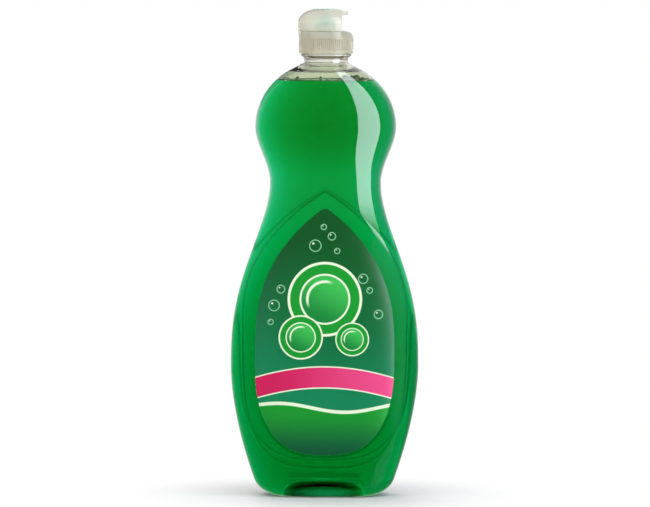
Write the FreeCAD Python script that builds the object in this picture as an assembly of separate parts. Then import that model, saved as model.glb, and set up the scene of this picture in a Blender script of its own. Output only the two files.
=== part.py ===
import FreeCAD, Part
import math
import os

# Dish soap bottle, in millimetres, +Z up, standing on the ground at z = 0.
# +X points the way the lid's lip points, and the front label faces -Y.
# A blown clear bottle holds green soap, wears a film label front and back,
# and is closed by a screw cap whose flip lid turns on a hinge at its rear.

# Body of the bottle: heights are stacked from the ground up
FOOT_HALF_WIDTH = 36.2  # where the side walls would meet the ground without a corner
FOOT_HALF_DEPTH = 23.5
FOOT_CORNER_WIDTH = 11.0
FOOT_CORNER_DEPTH = 7.0
FOOT_CORNER_HEIGHT = 9.0
BELLY_HEIGHT = 72.8
BELLY_HALF_WIDTH = 53.1
BELLY_HALF_DEPTH = 26.0
BELLY_TO_WAIST = 104.6
WAIST_HALF_WIDTH = 31.4
WAIST_HALF_DEPTH = 19.0
WAIST_TO_BULB = 31.5
BULB_HALF_WIDTH = 39.8
BULB_HALF_DEPTH = 26.5
BULB_TO_TOP = 31.7
BODY_TOP_RADIUS = 20.9
BODY_WALL = 0.7

# How the outline runs between those heights
FOOT_EASE = 1.7  # 1 is a straight flare from the foot, 2 a parabola
WAIST_EASE = 1.39  # above 1 the narrowing comes late
BULB_EASE = 1.0
BELLY_SQUARENESS = 3.0  # exponent of the section: 2 is an ellipse
WAIST_SQUARENESS = 2.3
BULB_SQUARENESS = 2.0

# Sunk panels on the front and back, each a leaf with its point at the waist
PANEL_DEPTH = 1.2
PANEL_BELOW_WAIST = 4.4
PANEL_BOTTOM = 17.7
PANEL_WIDEST_HEIGHT = 95.0
PANEL_SIDE_LAND = 7.1  # from the panel's edge to the widest part of the belly
PANEL_TIP_RADIUS = 1.2
PANEL_ROUNDNESS = 3.3
PANEL_POINT_POWER = 4.0  # how long the panel's edge keeps beside the body's outline

# Film labels: the front one fills its panel, the back one is smaller
LABEL_THICKNESS = 0.15
LABEL_GLUE = 0.05
LABEL_SIDE_MARGIN = 6.7
LABEL_TOP_MARGIN = 9.8
LABEL_BOTTOM_MARGIN = 6.6
BACK_LABEL_SIDE_MARGIN = 17.0
BACK_LABEL_TOP_MARGIN = 26.0
BACK_LABEL_BOTTOM_MARGIN = 15.0
LABEL_WIDEST_HEIGHT = 80.0
LABEL_TIP_RADIUS = 2.0
LABEL_ROUNDNESS = 2.6
LABEL_POINT_POWER = 2.8  # how full the label is below its point

# Domed push-up under the bottle, with the moulding's gate at its middle
PUSH_UP_HALF_WIDTH = 22.8
PUSH_UP_HALF_DEPTH = 12.5
PUSH_UP_HEIGHT = 8.5
GATE_RADIUS = 2.2
GATE_LENGTH = 1.0

# Crown, neck and support ring
CROWN_RADIUS = 20.3
CROWN_HEIGHT = 4.3
CROWN_WALL = 1.3
NECK_RADIUS = 12.45
NECK_WALL = 1.65
NECK_BELOW_RING = 2.7
RING_RADIUS = 14.4
RING_THICKNESS = 2.3
RING_EDGE = 0.9
NECK_ABOVE_RING = 11.6

# Soap
SOAP_BELOW_TOP = 5.2
SOAP_GAP = 0.15

# Screw cap
CAP_RADIUS = 15.4
CAP_RING_GAP = 0.3  # from the support ring up to the skirt
CAP_NECK_GAP = 1.55  # room for the screw threads
CAP_LAND_GAP = 0.2  # from the top of the neck up to the deck
DECK_THICKNESS = 1.3
CAP_EDGE = 0.4
PLUG_GAP = 0.05
PLUG_WALL = 1.1
PLUG_LENGTH = 3.0
RIB_COUNT = 84
RIB_DEPTH = 0.3
RIB_BOTTOM_MARGIN = 1.2
RIB_TOP_MARGIN = 0.6
SMOOTH_REAR = 8.2  # no ribs further back than this from the axis
DISH_DROP = 4.0  # how far the exposed front of the deck rounds down
DISH_REACH = 6.0

# Spout on the deck
SPOUT_FOOT_RADIUS = 6.6
SPOUT_TOP_RADIUS = 5.4
SPOUT_HEIGHT = 4.6
SPOUT_WALL = 1.2
ORIFICE_RADIUS = 1.8

# Flip lid
PARTING_GAP = 0.1
LID_BULGE_RADIUS = 16.1
LID_BULGE_HEIGHT = 3.9
LID_HEIGHT = 12.3
LID_CROWN_RADIUS = 4.5
LID_FRONT = 8.75  # from the axis to the lid's flat front
LID_WALL = 1.2
LIP_REACH = 3.6
LIP_HALF_WIDTH = 6.5
LIP_THICKNESS = 2.6
LIP_BELOW_TOP = 1.0
LIP_BOW = 1.4
STEM_RADIUS = 3.0
STEM_WALL = 0.9
STEM_GAP = 0.1
PIN_LENGTH = 1.0
PIN_GAP = 0.15
PIN_TIP_RADIUS = 0.9

# Hinge at the rear of the cap
HINGE_OUTSET = 0.35
HINGE_HALF_LENGTH = 5.5
HINGE_BEAD_RADIUS = 0.45
HINGE_GAP = 0.05
HINGE_LAND_HEIGHT = 2.1
HINGE_LAND_DEPTH = 1.9

# Heights that follow from the stack
WAIST_HEIGHT = BELLY_HEIGHT + BELLY_TO_WAIST
BULB_HEIGHT = WAIST_HEIGHT + WAIST_TO_BULB
BODY_TOP = BULB_HEIGHT + BULB_TO_TOP
CROWN_TOP = BODY_TOP + CROWN_HEIGHT
RING_BOTTOM = CROWN_TOP + NECK_BELOW_RING
RING_TOP = RING_BOTTOM + RING_THICKNESS
NECK_TOP = RING_TOP + NECK_ABOVE_RING
SOAP_LEVEL = BODY_TOP - SOAP_BELOW_TOP
SKIRT_BOTTOM = RING_TOP + CAP_RING_GAP
DECK_BOTTOM = NECK_TOP + CAP_LAND_GAP
DECK_TOP = DECK_BOTTOM + DECK_THICKNESS
SPOUT_TOP = DECK_TOP + SPOUT_HEIGHT
LID_BOTTOM = DECK_TOP + PARTING_GAP
LID_TOP = DECK_TOP + LID_HEIGHT
HINGE_X = -CAP_RADIUS - HINGE_OUTSET

# How finely the body is drawn
SECTION_POINTS = 20
CORNER_SECTIONS = 4
SIDE_SECTIONS = 14
SHOULDER_SECTIONS = 5
LEAF_POINTS = 40
CURVE_POINTS = 5
SLOPE_STEP = 0.01
REACH = 100.0  # longer than anything that a cutting tool must pass through

AXIS = FreeCAD.Vector(0, 0, 1)
ORIGIN = FreeCAD.Vector(0, 0, 0)


def smooth_step(share):
    """0 to 1 with level ends."""
    return share * share * (3 - 2 * share)


def half_size(height, foot, belly, waist, bulb):
    """The body's half-width or half-depth at a height, from its sizes at four heights."""
    if height <= BELLY_HEIGHT:
        fall = (BELLY_HEIGHT - height) / BELLY_HEIGHT
        return belly - (belly - foot) * fall**FOOT_EASE
    if height <= WAIST_HEIGHT:
        climb = (height - BELLY_HEIGHT) / BELLY_TO_WAIST
        return belly - (belly - waist) * smooth_step(climb**WAIST_EASE)
    if height <= BULB_HEIGHT:
        climb = (height - WAIST_HEIGHT) / WAIST_TO_BULB
        return waist + (bulb - waist) * smooth_step(climb**BULB_EASE)
    rise = BULB_TO_TOP / math.sqrt(1 - (BODY_TOP_RADIUS / bulb) ** 2)
    return bulb * math.sqrt(1 - ((height - BULB_HEIGHT) / rise) ** 2)


def half_width(height):
    return half_size(height, FOOT_HALF_WIDTH, BELLY_HALF_WIDTH, WAIST_HALF_WIDTH, BULB_HALF_WIDTH)


def half_depth(height):
    return half_size(height, FOOT_HALF_DEPTH, BELLY_HALF_DEPTH, WAIST_HALF_DEPTH, BULB_HALF_DEPTH)


def inset_by(size_at, height, inset):
    """What a wall of that inset takes off a half-size, measured square to the slope."""
    slope = (size_at(height + SLOPE_STEP / 2) - size_at(height - SLOPE_STEP / 2)) / SLOPE_STEP
    return inset * math.sqrt(1 + slope * slope)


def squareness(height):
    """Exponent of the section: squarer at the belly, elliptic from the bulb up."""
    if height <= WAIST_HEIGHT:
        share = max(0.0, (height - BELLY_HEIGHT) / BELLY_TO_WAIST)
        return BELLY_SQUARENESS + (WAIST_SQUARENESS - BELLY_SQUARENESS) * smooth_step(share)
    share = min(1.0, (height - WAIST_HEIGHT) / WAIST_TO_BULB)
    return WAIST_SQUARENESS + (BULB_SQUARENESS - WAIST_SQUARENESS) * smooth_step(share)


def section(width, depth, power, height):
    """A closed horizontal section with those half-sizes."""
    points = []
    for k in range(SECTION_POINTS):
        angle = 2 * math.pi * k / SECTION_POINTS
        across, along = math.cos(angle), math.sin(angle)
        reach = (abs(across) ** power + abs(along) ** power) ** (-1 / power)
        points.append(FreeCAD.Vector(width * across * reach, depth * along * reach, height))
    curve = Part.BSplineCurve()
    steps = [float(k) for k in range(SECTION_POINTS + 1)]
    curve.interpolate(Points=points, PeriodicFlag=True, Parameters=steps)
    return Part.Wire([curve.toShape()])


def body_form(inset, sunk):
    """The body's solid, inset all over, with its depth lessened by sunk on both faces."""
    corner = FOOT_CORNER_HEIGHT - inset
    top = BODY_TOP - inset
    levels = []
    for k in range(CORNER_SECTIONS + 1):
        turn = math.pi / 2 * k / CORNER_SECTIONS
        levels.append((inset + corner * (1 - math.cos(turn)), 1 - math.sin(turn)))
    for k in range(1, SIDE_SECTIONS + 1):
        levels.append((FOOT_CORNER_HEIGHT + (BULB_HEIGHT - FOOT_CORNER_HEIGHT) * k / SIDE_SECTIONS, 0))
    for k in range(1, SHOULDER_SECTIONS + 1):
        turn = math.pi / 2 * k / SHOULDER_SECTIONS
        levels.append((BULB_HEIGHT + (top - BULB_HEIGHT) * math.sin(turn), 0))
    wires = []
    for height, rounding in levels:
        width = half_width(height) - inset_by(half_width, height, inset)
        depth = half_depth(height) - inset_by(half_depth, height, inset) - sunk
        width -= (FOOT_CORNER_WIDTH - inset) * rounding
        depth -= (FOOT_CORNER_DEPTH - inset) * rounding
        wires.append(section(width, depth, squareness(height), height))
    return Part.makeLoft(wires, True, False)


def grown(curve, grow):
    """A closed curve in the XZ plane, drawn again that far outside itself."""
    span = curve.LastParameter - curve.FirstParameter
    points = []
    for k in range(LEAF_POINTS):
        place, along = curve.getD1(curve.FirstParameter + span * k / LEAF_POINTS)
        outwards = FreeCAD.Vector(along.z, 0, -along.x).normalize()
        points.append(place + outwards * grow)
    wider = Part.BSplineCurve()
    wider.interpolate(Points=points, PeriodicFlag=True)
    return wider


def leaf(bottom, widest, top, width, tip, roundness, side_at, grow=0.0):
    """A solid that passes right through the body with the outline of a leaf, point up.

    side_at gives the half-width above the widest height, from the height and from how
    far up towards the point it is, 0 to 1.
    """
    blunt = width / (math.sqrt(width * width + tip * tip) - tip)
    points = []
    for k in range(LEAF_POINTS):
        angle = 2 * math.pi * k / LEAF_POINTS
        side = math.copysign(1, math.cos(angle)) if abs(math.cos(angle)) > 1e-9 else 0
        if math.sin(angle) >= 0:
            rise = math.sin(angle)
            z = widest + (top - widest) * rise
            full = side_at(z, rise) / blunt
            x = side * math.sqrt((full + tip) ** 2 - tip * tip)
        else:
            fall = -math.sin(angle)
            reach = (fall**roundness + abs(math.cos(angle)) ** roundness) ** (-1 / roundness)
            x = width * math.cos(angle) * reach
            z = widest - (widest - bottom) * fall * reach
        points.append(FreeCAD.Vector(x, 0, z))
    curve = Part.BSplineCurve()
    curve.interpolate(Points=points, PeriodicFlag=True)
    outline = Part.Wire([grown(curve, grow).toShape()])
    return Part.Face(outline).extrude(FreeCAD.Vector(0, REACH, 0))


def panel_leaf(grow=0.0):
    """The panel's edge runs beside the body's outline and then turns in to its point."""
    width = BELLY_HALF_WIDTH - PANEL_SIDE_LAND
    land = half_width(PANEL_WIDEST_HEIGHT) - width

    def side_at(height, rise):
        return half_width(height) * (1 - rise**PANEL_POINT_POWER) - land * (1 - rise) ** 2

    return leaf(
        PANEL_BOTTOM,
        PANEL_WIDEST_HEIGHT,
        WAIST_HEIGHT - PANEL_BELOW_WAIST,
        width,
        PANEL_TIP_RADIUS,
        PANEL_ROUNDNESS,
        side_at,
        grow,
    )


def label_leaf(side_margin, top_margin, bottom_margin):
    """A label's outline, that far inside the panel's."""
    width = BELLY_HALF_WIDTH - PANEL_SIDE_LAND - side_margin

    def side_at(height, rise):
        return width * (1 - rise**LABEL_POINT_POWER)

    return leaf(
        PANEL_BOTTOM + bottom_margin,
        LABEL_WIDEST_HEIGHT,
        WAIST_HEIGHT - PANEL_BELOW_WAIST - top_margin,
        width,
        LABEL_TIP_RADIUS,
        LABEL_ROUNDNESS,
        side_at,
    )


def turned_about(solid):
    """The same solid on the other side of the bottle."""
    other = solid.copy()
    other.rotate(ORIGIN, AXIS, 180)
    return other


def panelled_body(inset):
    """The body's solid with both sunk panels, inset all over."""
    tool = panel_leaf(inset).cut(body_form(inset, PANEL_DEPTH))
    return body_form(inset, 0).cut(tool).cut(turned_about(tool))


def push_up(grow):
    """The dome under the bottle, grown all over."""
    stretch = FreeCAD.Matrix()
    stretch.scale(PUSH_UP_HALF_WIDTH + grow, PUSH_UP_HALF_DEPTH + grow, PUSH_UP_HEIGHT + grow)
    return Part.makeSphere(1).transformGeometry(stretch)


def curve_between(start, end, level_start):
    """A quarter of an ellipse from start to end, level at one end and upright at the other."""
    points = []
    for k in range(CURVE_POINTS):
        turn = math.pi / 2 * k / (CURVE_POINTS - 1)
        across = math.sin(turn) if level_start else 1 - math.cos(turn)
        down = 1 - math.cos(turn) if level_start else math.sin(turn)
        points.append(
            FreeCAD.Vector(
                start[0] + (end[0] - start[0]) * across,
                0,
                start[1] + (end[1] - start[1]) * down,
            )
        )
    level = FreeCAD.Vector(math.copysign(1, end[0] - start[0]), 0, 0)
    upright = FreeCAD.Vector(0, 0, math.copysign(1, end[1] - start[1]))
    curve = Part.BSplineCurve()
    curve.interpolate(
        Points=points,
        InitialTangent=level if level_start else upright,
        FinalTangent=upright if level_start else level,
    )
    return curve.toShape()


def turned(start, *steps):
    """A solid turned about the axis from a profile of (radius, height) points.

    A step is a point reached by a straight line, or ("level" or "upright", point)
    reached by a quarter of an ellipse that starts level or upright.
    """
    edges = []
    here = start
    for step in steps + (start,):
        if isinstance(step[0], str):
            there = step[1]
            edges.append(curve_between(here, there, step[0] == "level"))
        else:
            there = step
            line = (FreeCAD.Vector(here[0], 0, here[1]), FreeCAD.Vector(there[0], 0, there[1]))
            edges.append(Part.makeLine(*line))
        here = there
    return Part.Face(Part.Wire(edges)).revolve(ORIGIN, AXIS, 360)


def block(x_low, x_high, half_y, z_low, z_high):
    corner = FreeCAD.Vector(x_low, -half_y, z_low)
    return Part.makeBox(x_high - x_low, 2 * half_y, z_high - z_low, corner)


def cylinder(radius, bottom, top):
    return Part.makeCylinder(radius, top - bottom, FreeCAD.Vector(0, 0, bottom))


def neck():
    """Crown, neck and support ring, with no bore."""
    root = BODY_TOP - BODY_WALL / 2
    return turned(
        (0, root),
        (CROWN_RADIUS, root),
        (CROWN_RADIUS, BODY_TOP),
        (NECK_RADIUS, CROWN_TOP),
        (NECK_RADIUS, RING_BOTTOM),
        (RING_RADIUS, RING_TOP - RING_EDGE),
        (RING_RADIUS, RING_TOP),
        (NECK_RADIUS, RING_TOP),
        (NECK_RADIUS, NECK_TOP),
        (0, NECK_TOP),
    )


def neck_bore():
    """The way out through the crown and the neck."""
    bore = NECK_RADIUS - NECK_WALL
    mouth = CROWN_RADIUS - CROWN_WALL
    root = BODY_TOP - BODY_WALL - SOAP_GAP
    return turned(
        (0, root),
        (mouth, root),
        (mouth, BODY_TOP - CROWN_WALL / 2),
        (bore, CROWN_TOP - CROWN_WALL),
        (bore, NECK_TOP + REACH),
        (0, NECK_TOP + REACH),
    )


def bottle():
    """Blown in one piece: body with panels and push-up, crown, ring and neck."""
    gate = cylinder(GATE_RADIUS, PUSH_UP_HEIGHT - GATE_LENGTH, PUSH_UP_HEIGHT + BODY_WALL / 2)
    outside = panelled_body(0).cut(push_up(0)).fuse(gate)
    inside = panelled_body(BODY_WALL).cut(push_up(BODY_WALL))
    return outside.fuse(neck()).cut(inside).cut(neck_bore())


def soap():
    """The liquid, a hair inside the bottle's wall, up to its level."""
    inset = BODY_WALL + SOAP_GAP
    above = block(-REACH, REACH, REACH, SOAP_LEVEL, SOAP_LEVEL + REACH)
    return panelled_body(inset).cut(push_up(inset)).cut(above)


def label(outline):
    """A film label of that outline, lying in the back panel."""
    outer = body_form(-LABEL_GLUE - LABEL_THICKNESS, PANEL_DEPTH)
    inner = body_form(-LABEL_GLUE, PANEL_DEPTH)
    half = Part.makeBox(2 * REACH, REACH, 4 * REACH, FreeCAD.Vector(-REACH, 0, -REACH))
    return outline.common(half).common(outer).cut(inner)


def grip_grooves():
    """What lies between the ribs of the skirt, all round but for the smooth rear."""
    bottom = SKIRT_BOTTOM + RIB_BOTTOM_MARGIN
    height = DECK_TOP - DISH_DROP - RIB_TOP_MARGIN - bottom
    points = []
    for k in range(2 * RIB_COUNT + 1):
        angle = math.pi * k / RIB_COUNT
        radius = CAP_RADIUS - RIB_DEPTH * (k % 2)
        points.append(FreeCAD.Vector(radius * math.cos(angle), radius * math.sin(angle), bottom))
    star = Part.Face(Part.makePolygon(points)).extrude(FreeCAD.Vector(0, 0, height))
    around = cylinder(CAP_RADIUS + RIB_DEPTH, bottom, bottom + height)
    rear = block(-REACH, -SMOOTH_REAR, REACH, bottom, bottom + height)
    return around.cut(star).cut(rear)


def hinge_land(bottom, top):
    """A flat block at the rear of the cap, which ends on the hinge's line."""
    return block(HINGE_X, HINGE_X + HINGE_LAND_DEPTH, HINGE_HALF_LENGTH, bottom, top)


def hinge_rod(radius, half_length):
    foot = FreeCAD.Vector(HINGE_X, -half_length, DECK_TOP)
    return Part.makeCylinder(radius, 2 * half_length, foot, FreeCAD.Vector(0, 1, 0))


def cap_base():
    """Skirt, deck, plug seal, spout and the fixed half of the hinge."""
    shell = turned(
        (CAP_RADIUS - CAP_EDGE, SKIRT_BOTTOM),
        (CAP_RADIUS, SKIRT_BOTTOM + CAP_EDGE),
        (CAP_RADIUS, DECK_TOP),
        (0, DECK_TOP),
        (0, DECK_BOTTOM),
        (NECK_RADIUS + CAP_NECK_GAP, DECK_BOTTOM),
        (NECK_RADIUS + CAP_NECK_GAP, SKIRT_BOTTOM),
    )
    rounded = turned(
        (0, SKIRT_BOTTOM),
        (CAP_RADIUS, SKIRT_BOTTOM),
        (CAP_RADIUS, DECK_TOP - DISH_DROP),
        ("upright", (CAP_RADIUS - DISH_REACH, DECK_TOP)),
        (0, DECK_TOP),
    )
    front = block(LID_FRONT, REACH, REACH, SKIRT_BOTTOM, DECK_TOP)
    shell = shell.cut(front.cut(rounded)).cut(grip_grooves())
    plug_radius = NECK_RADIUS - NECK_WALL - PLUG_GAP
    plug = cylinder(plug_radius, DECK_BOTTOM - PLUG_LENGTH, DECK_TOP)
    plug = plug.cut(cylinder(plug_radius - PLUG_WALL, DECK_BOTTOM - PLUG_LENGTH, DECK_TOP))
    spout = turned(
        (0, DECK_TOP),
        (SPOUT_FOOT_RADIUS, DECK_TOP),
        ("level", (SPOUT_TOP_RADIUS, SPOUT_TOP - SPOUT_WALL)),
        (SPOUT_TOP_RADIUS, SPOUT_TOP),
        (0, SPOUT_TOP),
    )
    chamber = SPOUT_TOP_RADIUS - SPOUT_WALL
    inside = turned(
        (0, DECK_BOTTOM),
        (chamber, DECK_BOTTOM),
        (chamber, SPOUT_TOP - SPOUT_WALL),
        (ORIFICE_RADIUS, SPOUT_TOP - SPOUT_WALL),
        (ORIFICE_RADIUS, SPOUT_TOP),
        (0, SPOUT_TOP),
    )
    land = hinge_land(DECK_TOP - HINGE_LAND_HEIGHT, DECK_TOP)
    bead = hinge_rod(HINGE_BEAD_RADIUS, HINGE_HALF_LENGTH)
    return shell.fuse([plug, spout, land, bead]).cut(inside)


def lid_form(inset):
    """The lid's dome as a solid, inset all over, with a flat front."""
    foot = CAP_RADIUS - inset
    dome = turned(
        (0, LID_BOTTOM),
        (foot, LID_BOTTOM),
        (LID_BULGE_RADIUS - inset, DECK_TOP + LID_BULGE_HEIGHT),
        ("upright", (LID_CROWN_RADIUS, LID_TOP - inset)),
        (0, LID_TOP - inset),
    )
    return dome.cut(block(LID_FRONT - inset, REACH, REACH, LID_BOTTOM, LID_TOP))


def lip():
    """The thumb tab at the front of the lid."""
    top = LID_TOP - LIP_BELOW_TOP
    root = LID_FRONT - LID_WALL / 2
    end = LID_FRONT + LIP_REACH
    side = end - LIP_BOW
    low = FreeCAD.Vector(root, -LIP_HALF_WIDTH, top - LIP_THICKNESS)
    near = FreeCAD.Vector(side, -LIP_HALF_WIDTH, top - LIP_THICKNESS)
    tip = FreeCAD.Vector(end, 0, top - LIP_THICKNESS)
    far = FreeCAD.Vector(side, LIP_HALF_WIDTH, top - LIP_THICKNESS)
    back = FreeCAD.Vector(root, LIP_HALF_WIDTH, top - LIP_THICKNESS)
    edges = [
        Part.makeLine(low, near),
        Part.Arc(near, tip, far).toShape(),
        Part.makeLine(far, back),
        Part.makeLine(back, low),
    ]
    return Part.Face(Part.Wire(edges)).extrude(FreeCAD.Vector(0, 0, LIP_THICKNESS))


def flip_lid():
    """Domed lid with a thumb lip, and a pin on a hollow stem that stops the orifice."""
    shell = lid_form(0).cut(lid_form(LID_WALL))
    stem_bottom = SPOUT_TOP + STEM_GAP
    stem = cylinder(STEM_RADIUS, stem_bottom, LID_TOP - LID_WALL / 2)
    hollow = cylinder(STEM_RADIUS - STEM_WALL, stem_bottom + STEM_WALL, LID_TOP - LID_WALL)
    pin = turned(
        (0, stem_bottom - PIN_LENGTH),
        (PIN_TIP_RADIUS, stem_bottom - PIN_LENGTH),
        (ORIFICE_RADIUS - PIN_GAP, stem_bottom),
        (ORIFICE_RADIUS - PIN_GAP, stem_bottom + STEM_WALL),
        (0, stem_bottom + STEM_WALL),
    )
    land = hinge_land(LID_BOTTOM, LID_BOTTOM + HINGE_LAND_HEIGHT)
    groove = hinge_rod(HINGE_BEAD_RADIUS + HINGE_GAP, HINGE_HALF_LENGTH + HINGE_GAP)
    return shell.fuse([stem.cut(hollow), pin, lip(), land]).cut(groove)


def main():
    os.makedirs("parts", exist_ok=True)
    front_outline = label_leaf(LABEL_SIDE_MARGIN, LABEL_TOP_MARGIN, LABEL_BOTTOM_MARGIN)
    back_outline = label_leaf(BACK_LABEL_SIDE_MARGIN, BACK_LABEL_TOP_MARGIN, BACK_LABEL_BOTTOM_MARGIN)
    made = {
        "bottle": bottle(),
        "dish_soap": soap(),
        "front_label": turned_about(label(front_outline)),
        "back_label": label(back_outline),
        "cap_base": cap_base(),
        "flip_lid": flip_lid(),
    }
    for node, shape in made.items():
        solids = shape.removeSplitter().Solids
        piece = solids[0] if len(solids) == 1 else Part.makeCompound(solids)
        piece.exportStep(os.path.join("parts", node + ".step"))
        print(node, "solids", len(solids), "valid", piece.isValid(), "mm3", round(piece.Volume))


main()
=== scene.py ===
import math
import random

import bpy
import numpy as np
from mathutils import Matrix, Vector


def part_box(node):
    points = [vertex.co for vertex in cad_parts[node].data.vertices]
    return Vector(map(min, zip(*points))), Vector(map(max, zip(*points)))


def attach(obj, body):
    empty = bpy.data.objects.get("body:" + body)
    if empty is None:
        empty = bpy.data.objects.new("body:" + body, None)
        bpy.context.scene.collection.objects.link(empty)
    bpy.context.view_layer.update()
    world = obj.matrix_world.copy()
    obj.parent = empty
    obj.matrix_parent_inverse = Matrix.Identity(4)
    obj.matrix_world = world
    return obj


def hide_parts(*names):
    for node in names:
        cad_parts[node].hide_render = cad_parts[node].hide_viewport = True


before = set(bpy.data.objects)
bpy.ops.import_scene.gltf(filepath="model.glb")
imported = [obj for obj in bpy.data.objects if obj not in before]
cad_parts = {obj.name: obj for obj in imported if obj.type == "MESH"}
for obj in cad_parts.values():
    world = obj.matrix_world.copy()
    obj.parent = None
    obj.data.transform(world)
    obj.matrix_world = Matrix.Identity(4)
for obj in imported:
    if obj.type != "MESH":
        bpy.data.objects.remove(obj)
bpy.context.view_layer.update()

# Dish soap bottle: sizes in millimetres, turned to metres as the meshes are made.
# +X points the way the lid's lip points, and the front label faces -Y.
MM = 0.001

# The photograph's frame, and where the bottle stands in it
PHOTO_WIDTH_PX = 650
PHOTO_HEIGHT_PX = 507
PIXEL = 0.5662
FOOT_ROW_PX = 495.2
AXIS_COLUMN_PX = 325.1
CAMERA_DISTANCE = 3500.0
CAMERA_ELEVATION = 3.5
CAMERA_ROLL = 0.28

# Outline of the blown body, the same as the frame's own bottle
FOOT_HALF_WIDTH = 36.2
FOOT_HALF_DEPTH = 23.5
FOOT_CORNER = (11.0, 7.0, 9.0)  # across, front to back, and up
BELLY_HEIGHT = 72.8
BELLY_HALF_WIDTH = 53.1
BELLY_HALF_DEPTH = 26.0
WAIST_HEIGHT = 177.4
WAIST_HALF_WIDTH = 31.4
WAIST_HALF_DEPTH = 19.0
BULB_HEIGHT = 208.9
BULB_HALF_WIDTH = 39.8
BULB_HALF_DEPTH = 26.5
BODY_TOP = 240.6
BODY_TOP_RADIUS = 20.9
FOOT_EASE = 1.7
WAIST_EASE = 1.39
BELLY_SQUARENESS = 3.0
WAIST_SQUARENESS = 2.3
BULB_SQUARENESS = 2.0
BODY_WALL = 0.7

# Push-up under the bottle
PUSH_UP = (22.8, 12.5, 8.5)  # half-width, half-depth and height
PUSH_UP_RIM = 1.4
PUSH_UP_FULLNESS = 0.75  # below 1 the dome rises more steeply at its rim

# Crown, neck and support ring
CROWN_RADIUS = 20.3
CROWN_TOP = 244.9
CROWN_WALL = 1.3
NECK_RADIUS = 12.45
NECK_BORE = 10.8
RING_RADIUS = 14.4
RING_BOTTOM = 247.6
RING_TOP = 249.9
NECK_TOP = 261.5

# Sunk panels and labels
PANEL_DEPTH = 1.2
PANEL_SLOPE = 6.5  # width of the slope inside the panel's edge
PANEL_POINT_POWER = 4.0
CREASE_STEP = 0.35
CREASE_REACH = 0.7
LABEL_POINT_POWER = 2.8
PANEL_LEAF = {"bottom": 17.7, "widest": 95.0, "top": 173.0, "width": 46.0, "tip": 1.2, "roundness": 3.3}
LABEL_LEAF = {"bottom": 24.3, "widest": 80.0, "top": 163.2, "width": 39.3, "tip": 2.0, "roundness": 2.6}
BACK_LABEL_LEAF = {"bottom": 32.7, "widest": 80.0, "top": 147.0, "width": 29.0, "tip": 2.0, "roundness": 2.6}
LABEL_LIFT = 0.06
LABEL_THICKNESS = 0.14
LABEL_MIDDLE = 84.0
LABEL_RINGS = 34
LABEL_STEPS = 200

# Soap
SOAP_GAP = 0.03
SOAP_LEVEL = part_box("dish_soap")[1].z / MM
MENISCUS = 0.5
BUBBLE_COUNT = 46
# Angle round the axis and radius of each large bubble, which are the first of them
LARGE_BUBBLES = ((-62.0, 2.3), (-52.0, 2.1), (-43.0, 2.2), (-34.0, 1.3), (-71.0, 1.1))
SOAP_DENSITY = 200.0  # per metre
SOAP_TINT = (0.0, 0.861, 0.6, 1.0)

# Cap
DECK_TOP = 263.0
DECK_BOTTOM = 261.7
SKIRT_BOTTOM = 250.2
CAP_RADIUS = 15.4
CAP_BORE = 14.0
RIB_COUNT = 84
RIB_DEPTH = 0.3
RIB_ZONE = (251.5, 258.4)
SMOOTH_REAR = -8.2
LID_FRONT = 8.75
LID_BOTTOM = 263.1
LID_TOP = 275.3
LID_WALL = 1.2
DISH_DROP = 4.0
DISH_REACH = 6.0
HINGE_X = -15.75
HINGE_HALF_LENGTH = 5.5
HINGE_REACH = 1.9
LID_SHOULDER = (16.1, 266.9)  # radius and height at which the dome starts
LID_FLAT_RADIUS = 4.5
STEM_TOP = 274.6
LIP_ROOT = 8.0
LIP_TIP = LID_FRONT + 3.6
LIP_TOP = 274.3
LIP_THICKNESS = 2.6
LIP_HALF_LENGTH = 6.5
LIP_BOW = 1.4

# Screw threads
THREAD_PITCH = 4.2
THREAD_HEIGHT = 1.5
NECK_THREAD_RADIUS = 13.15
CAP_THREAD_RADIUS = 13.3

# How finely the turned pieces are drawn
BODY_STEPS = 216
SIDE_RINGS = 118
BATCH = 8000

# Inside the base, faces up to this half-width, half-depth and height are sorted by how they tilt
BASE_ZONE = (27.0, 17.0, 10.5)


# Shape of the body

def smooth_step(share):
    return share * share * (3 - 2 * share)


def half_size(height, foot, belly, waist, bulb):
    """The body's half-width or half-depth at a height, from its sizes at four heights."""
    if height <= BELLY_HEIGHT:
        fall = (BELLY_HEIGHT - height) / BELLY_HEIGHT
        return belly - (belly - foot) * fall**FOOT_EASE
    if height <= WAIST_HEIGHT:
        climb = (height - BELLY_HEIGHT) / (WAIST_HEIGHT - BELLY_HEIGHT)
        return belly - (belly - waist) * smooth_step(climb**WAIST_EASE)
    if height <= BULB_HEIGHT:
        climb = (height - WAIST_HEIGHT) / (BULB_HEIGHT - WAIST_HEIGHT)
        return waist + (bulb - waist) * smooth_step(climb)
    rise = (BODY_TOP - BULB_HEIGHT) / math.sqrt(1 - (BODY_TOP_RADIUS / bulb) ** 2)
    return bulb * math.sqrt(max(0.0, 1 - ((height - BULB_HEIGHT) / rise) ** 2))


def half_width(height):
    return half_size(height, FOOT_HALF_WIDTH, BELLY_HALF_WIDTH, WAIST_HALF_WIDTH, BULB_HALF_WIDTH)


def half_depth(height):
    return half_size(height, FOOT_HALF_DEPTH, BELLY_HALF_DEPTH, WAIST_HALF_DEPTH, BULB_HALF_DEPTH)


def squareness(height):
    """Exponent of the section: squarer at the belly, elliptic from the bulb up."""
    if height <= WAIST_HEIGHT:
        share = max(0.0, (height - BELLY_HEIGHT) / (WAIST_HEIGHT - BELLY_HEIGHT))
        return BELLY_SQUARENESS + (WAIST_SQUARENESS - BELLY_SQUARENESS) * smooth_step(share)
    share = min(1.0, (height - WAIST_HEIGHT) / (BULB_HEIGHT - WAIST_HEIGHT))
    return WAIST_SQUARENESS + (BULB_SQUARENESS - WAIST_SQUARENESS) * smooth_step(share)


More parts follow.
